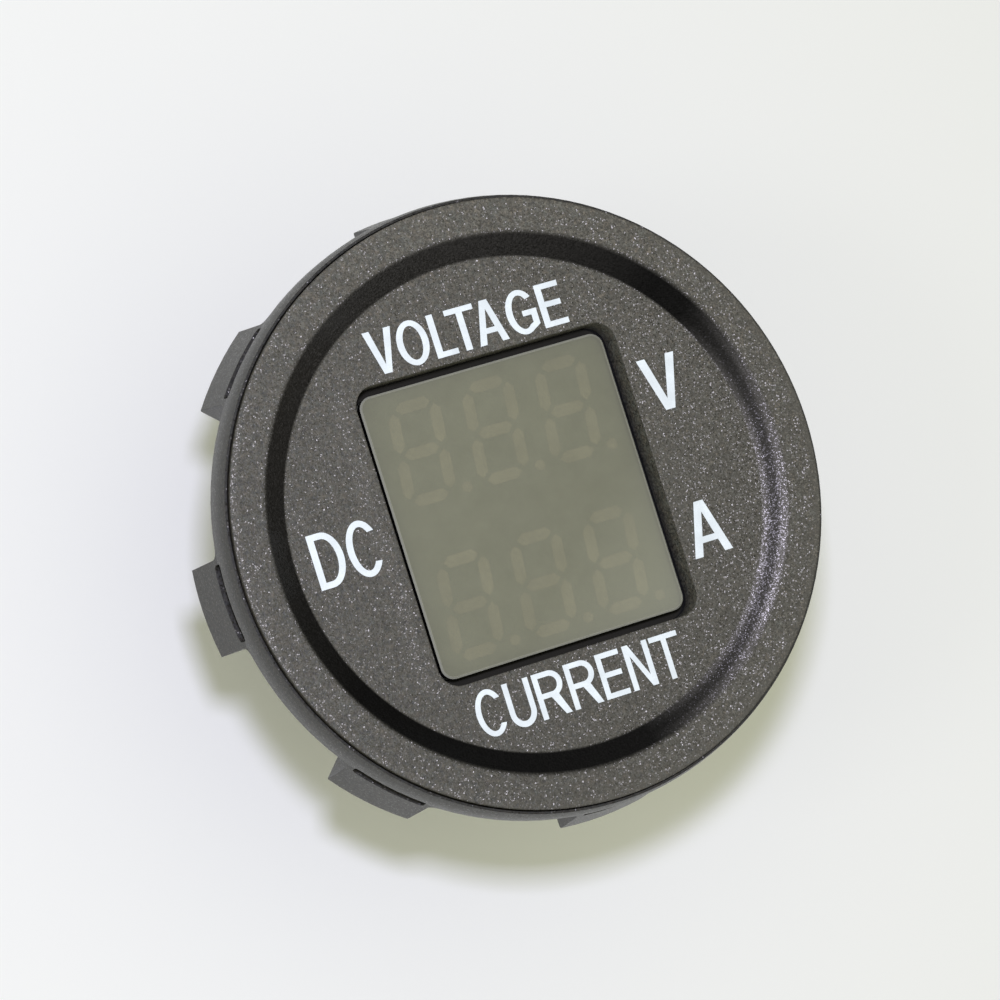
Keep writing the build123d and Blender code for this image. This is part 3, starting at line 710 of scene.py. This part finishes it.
def letterC(width, stem, bar):
    middle = width * 0.52
    outline = arc(middle, 0.5, middle, roundHalf, 33, 327)
    outline += arc(middle, 0.5, middle - stem, roundHalf - bar, 318, 42)
    return [outline]


def letterG(width, stem, bar):
    middle, shelf, shelfLeft = width * 0.51, 0.52, width * 0.52
    spurLeft, spurHigh, spurLow = width - stem * 0.95, 0.22, 0.15
    outline = arc(middle, 0.5, middle, roundHalf, 36, 300)
    outline += [(width, spurLow), (width, shelf), (shelfLeft, shelf), (shelfLeft, shelf - bar)]
    outline += [(spurLeft, shelf - bar), (spurLeft, spurHigh)]
    outline += arc(middle, 0.5, middle - stem, roundHalf - bar, 305, 42)
    return [outline]


def letterR(width, stem, bar):
    bowlX, bowlWide, waist, legTop = width * 0.55, width * 0.42, 0.43, width * 0.48
    bowlY, leg = (1 + waist) / 2, width + 0.01
    outline = [(0, 0), (0, 1)] + arc(bowlX, bowlY, bowlWide, 1 - bowlY, 90, -62)
    outline += [(leg, 0), (leg - stem * 1.15, 0), (legTop, waist), (stem, waist), (stem, 0)]
    hole = [(stem, waist + bar), (stem, 1 - bar)]
    hole += arc(bowlX, bowlY, bowlWide - stem, 1 - bowlY - bar, 90, -90)
    return [outline, hole]


alphabet = {
    "V": (letterV, 0.67), "O": (letterO, 0.73), "L": (letterL, 0.51), "T": (letterT, 0.68),
    "A": (letterA, 0.70), "G": (letterG, 0.71), "E": (letterE, 0.58), "C": (letterC, 0.65),
    "U": (letterU, 0.62), "R": (letterR, 0.68), "N": (letterN, 0.60), "D": (letterD, 0.63),
}


def legendLoops(text, left, right, foot, height, stem, bar):
    cursor, drawn = 0, []
    for number, character in enumerate(text):
        draw, width = alphabet[character]
        drawn += [[(cursor + x, y) for x, y in loop] for loop in draw(width, stem, bar)]
        gap = lettering["pairGaps"].get(text[number:number + 2], lettering["usualGap"])
        cursor += width + gap
    stretch = (right - left) / (cursor - lettering["usualGap"])
    return [[(left + x * stretch, foot + y * height) for x, y in loop] for loop in drawn]


def makeLegend(text, place, layer):
    curve = bpy.data.curves.new("legend" + text, "CURVE")
    curve.dimensions = "2D"
    curve.fill_mode = "BOTH"
    curve.extrude = layer["height"] / 2 * mm
    for loop in legendLoops(text, *place):
        spline = curve.splines.new("POLY")
        spline.points.add(len(loop) - 1)
        for point, (x, y) in zip(spline.points, loop):
            point.co = (x * mm, y * mm, 0, 1)
        spline.use_cyclic_u = True
    drawing = bpy.data.objects.new("legendDrawing", curve)
    scene.collection.objects.link(drawing)
    bpy.context.view_layer.update()
    mesh = bpy.data.meshes.new_from_object(drawing.evaluated_get(bpy.context.evaluated_depsgraph_get()))
    bpy.data.objects.remove(drawing)
    level = layer["level"] + layer["lift"] + layer["height"] / 2
    mesh.transform(Matrix.Translation((0, 0, level * mm)))
    mesh.materials.clear()
    mesh.materials.append(made["printInk"])
    piece = bpy.data.objects.new("legend_" + text, mesh)
    scene.collection.objects.link(piece)
    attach(piece, "root")


for text, place in legends.items():
    makeLegend(text, place, printLayer)
print("legends printed:", len(legends))


# Threaded barrel: one section with the ridge at its place, set round in a ring
barrel = {
    "crest": 14.2,            # mm, radii and heights in the frame
    "relief": 13.95,
    "end": casingLow.z / mm,
    "back": 1.0,
    "front": casingHigh.z / mm,
    "baseRadius": 16.15,
    "baseEdge": 0.1,
    "bore": 12.6,
    "ledge": 11.9,
    "ledgeLevel": -6.0,
    "pitch": 2.0,
    "threadDepth": 0.5,
    "threadFrom": -0.35,
    "frontFade": 0.6,         # the ridge grows over this length at either end
    "endFade": 0.9,
    "crestFlat": 1.7,         # widens the ridge's crest, and then its root
    "rootFlat": 0.25,
    "endChamfer": 0.5,
    "turnSteps": 192,
    "levelStep": 0.1,
}


def threadRadius(level, turn, spec):
    # a rounded ridge that winds once round for each pitch
    phase = (level / spec["pitch"] - turn / tau) % 1
    ridge = 0.5 + 0.5 * cos(tau * phase)
    flank = min(1, max(0, ridge * spec["crestFlat"] - spec["rootFlat"]))
    fromEnd = level - spec["end"]
    fade = min(1, (spec["threadFrom"] - level) / spec["frontFade"], fromEnd / spec["endFade"])
    depth = spec["threadDepth"] * max(0, fade)
    chamfer = max(0, spec["endChamfer"] - fromEnd)
    return spec["crest"] - max(depth * (1 - flank), chamfer)


def barrelSection(turn, levels, spec):
    front, base, edge = spec["front"], spec["baseRadius"], spec["baseEdge"]
    section = [
        (spec["ledge"], front), (base - edge, front), (base, front - edge), (base, spec["back"]),
        (spec["relief"], spec["back"]), (spec["relief"], 0), (spec["crest"], 0),
    ]
    section += [(threadRadius(level, turn, spec), level) for level in levels]
    return section + [
        (spec["crest"] - spec["endChamfer"], spec["end"]), (spec["bore"], spec["end"]),
        (spec["bore"], spec["ledgeLevel"]), (spec["ledge"], spec["ledgeLevel"]),
    ]


def makeBarrel(spec):
    levels, level = [], spec["threadFrom"]
    while level > spec["end"] + spec["levelStep"] / 2:
        levels.append(level)
        level -= spec["levelStep"]
    points, faces = [], []
    for step in range(spec["turnSteps"]):
        turn = tau * step / spec["turnSteps"]
        section = barrelSection(turn, levels, spec)
        points += [(r * cos(turn) * mm, r * sin(turn) * mm, z * mm) for r, z in section]
    count = len(section)
    for step in range(spec["turnSteps"]):
        here, there = step * count, (step + 1) % spec["turnSteps"] * count
        for row in range(count):
            after = (row + 1) % count
            faces.append((here + row, there + row, there + after, here + after))
    piece = meshPiece("threaded_barrel", points, faces, made["casingNylon"])
    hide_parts("barrel_casing")
    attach(piece, "root")


makeBarrel(barrel)
print("barrel threaded")


# Floor, lights and the tent round them
paleFloor = {
    "level": bladeLow.z - 0.05 * mm,       # m, like the sizes below
    "size": 3.0,
    "colour": (0.95, 0.95, 0.955),
    "patchPerMm": 0.01,
    "patchSpan": (0.3, 0.7),
    "patchShade": 0.985,
}
tent = {
    "colour": (0.56, 0.57, 0.43),          # warm light from the tent's walls
    "shares": (0.6, 1.2),                  # it is dimmer low down than overhead
    "seenColour": (0.86, 0.87, 0.87),
    "seenShares": (0.45, 1.05),
}
softboxes = {       # m, and each one's share of a white card's light at the object
    "keyLight": {
        "from": (-0.262, 0.074, 0.962),
        "distance": 0.21,
        "size": 0.015,
        "share": 0.65,
        "colour": (0.76, 0.76, 1.0),
    },
    "sideLight": {
        "from": (-0.675, 0.04, 0.73),
        "distance": 0.5,
        "size": 0.1,
        "share": 0.05,
        "colour": (1, 1, 1),
    },
}


def makeFloor(spec):
    material = newMaterial("paleFloor")
    patches = grainNoise(material, millimetres(material), spec["patchPerMm"])
    patches = remap(material, patches, *spec["patchSpan"], 0, 1)
    colour = mixColour(material, patches, shaded(spec["colour"], spec["patchShade"]), spec["colour"])
    setSurface(material, addNode(material, "ShaderNodeBsdfDiffuse", {"Roughness": 0.0, "Color": colour}))
    half = spec["size"] / 2
    mesh = bpy.data.meshes.new("floor")
    corners = [(-half, -half, 0), (half, -half, 0), (half, half, 0), (-half, half, 0)]
    mesh.from_pydata(corners, [], [(0, 1, 2, 3)])
    mesh.materials.append(material)
    floor = bpy.data.objects.new("floor", mesh)
    floor.location.z = spec["level"]
    scene.collection.objects.link(floor)


def makeSoftbox(name, spec):
    lamp = bpy.data.lights.new(name, "AREA")
    lamp.shape = "SQUARE"
    lamp.size = spec["size"]
    lamp.color = spec["colour"]
    lamp.energy = spec["share"] * (pi * spec["distance"]) ** 2
    softbox = bpy.data.objects.new(name, lamp)
    aim = Vector(spec["from"]).normalized()
    softbox.location = aim * spec["distance"]
    softbox.rotation_mode = "QUATERNION"
    softbox.rotation_quaternion = (-aim).to_track_quat("-Z", "Y")
    scene.collection.objects.link(softbox)


def makeWorld(spec):
    world = bpy.data.worlds.new("tent")
    world.use_nodes = True
    world.node_tree.nodes.clear()
    direction = addNode(world, "ShaderNodeTexCoord").outputs["Generated"]
    rise = addNode(world, "ShaderNodeSeparateXYZ", {0: direction}).outputs["Z"]
    light = vectorMath(world, "SCALE", spec["colour"], share=remap(world, rise, 0, 1, *spec["shares"]))
    seenShare = remap(world, rise, 0, 1, *spec["seenShares"])
    backdrop = vectorMath(world, "SCALE", spec["seenColour"], share=seenShare)

    # the backdrop is what the camera sees, also in shiny and clear pieces
    path = addNode(world, "ShaderNodeLightPath").outputs
    seen = path["Is Camera Ray"]
    for kind in ("Is Glossy Ray", "Is Transmission Ray"):
        seen = mathNode(world, "MAXIMUM", seen, path[kind])
    colour = mixColour(world, seen, light, backdrop)
    background = addNode(world, "ShaderNodeBackground", {"Color": colour})
    addNode(world, "ShaderNodeOutputWorld", {"Surface": background.outputs[0]})
    scene.world = world


makeFloor(paleFloor)
makeWorld(tent)
for name, spec in softboxes.items():
    makeSoftbox(name, spec)
print("floor, lights and world set")

viewpoint = {
    "place": (-70.50, -9.18, 213.46),      # mm
    "right": (0.9088, -0.3003, 0.2897),
    "up": (0.2715, 0.9528, 0.1361),
    "lens": 130.5,
    "sensor": 36.0,
    "clip": (0.01, 10),                    # m
}


def makeCamera(spec):
    camera = bpy.data.cameras.new("camera")
    camera.lens = spec["lens"]
    camera.sensor_width = spec["sensor"]
    camera.clip_start, camera.clip_end = spec["clip"]
    seat = bpy.data.objects.new("camera", camera)
    right = Vector(spec["right"]).normalized()
    up = Vector(spec["up"])
    up = (up - right * up.dot(right)).normalized()
    back = right.cross(up)
    turn = Matrix((right, up, back)).transposed().to_4x4()
    seat.matrix_world = Matrix.Translation(Vector(spec["place"]) * mm) @ turn
    scene.collection.objects.link(seat)
    scene.camera = seat


makeCamera(viewpoint)
scene.view_settings.view_transform = "Standard"
print("camera set")
